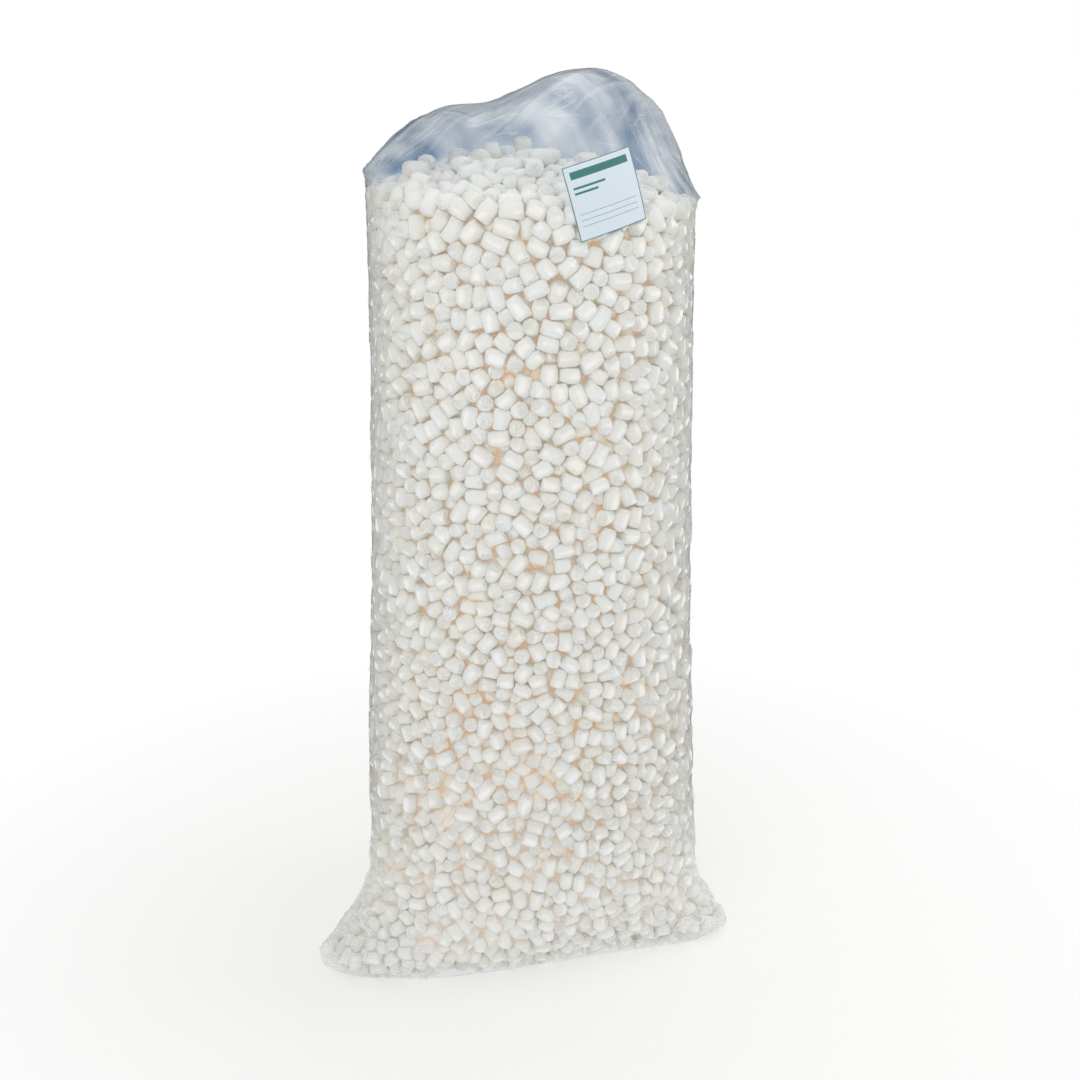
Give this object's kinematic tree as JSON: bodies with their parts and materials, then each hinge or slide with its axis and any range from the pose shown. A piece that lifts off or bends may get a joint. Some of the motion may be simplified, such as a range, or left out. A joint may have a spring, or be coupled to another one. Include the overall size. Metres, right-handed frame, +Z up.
{
  "type": "packing peanut bag",
  "caption": "Tall clear film bag filled with white foam packing peanuts, flat underside, welded bottom with two ears, slack hood on top and a label.",
  "frame": {"origin": "on the floor under the middle of the bag, on the flat film of its underside", "axes": "+Z up, the bag's width along X, its labelled front faces -Y"},
  "size_m": [0.8285, 0.5745, 1.6849],
  "materials": {
    "film": "clear glossy polythene film, slightly hazy",
    "starch_foam": "matt warm white extruded foam",
    "label": "satin printed paper, unprinted"
  },
  "bodies": {
    "root": {"film_bag": "film", "peanut_fill": "starch_foam", "label": "label", "loose_peanut_01": "starch_foam", "loose_peanut_02": "starch_foam", "loose_peanut_03": "starch_foam", "loose_peanut_04": "starch_foam", "loose_peanut_05": "starch_foam", "loose_peanut_06": "starch_foam", "loose_peanut_07": "starch_foam", "loose_peanut_08": "starch_foam", "loose_peanut_09": "starch_foam", "loose_peanut_10": "starch_foam", "loose_peanut_11": "starch_foam", "loose_peanut_12": "starch_foam", "loose_peanut_13": "starch_foam", "loose_peanut_14": "starch_foam", "loose_peanut_15": "starch_foam", "loose_peanut_16": "starch_foam", "loose_peanut_17": "starch_foam", "loose_peanut_18": "starch_foam", "loose_peanut_19": "starch_foam", "loose_peanut_20": "starch_foam", "loose_peanut_21": "starch_foam", "loose_peanut_22": "starch_foam", "loose_peanut_23": "starch_foam", "loose_peanut_24": "starch_foam", "loose_peanut_25": "starch_foam", "loose_peanut_26": "starch_foam", "loose_peanut_27": "starch_foam", "loose_peanut_28": "starch_foam", "loose_peanut_29": "starch_foam", "loose_peanut_30": "starch_foam"}
  },
  "joints": []
}
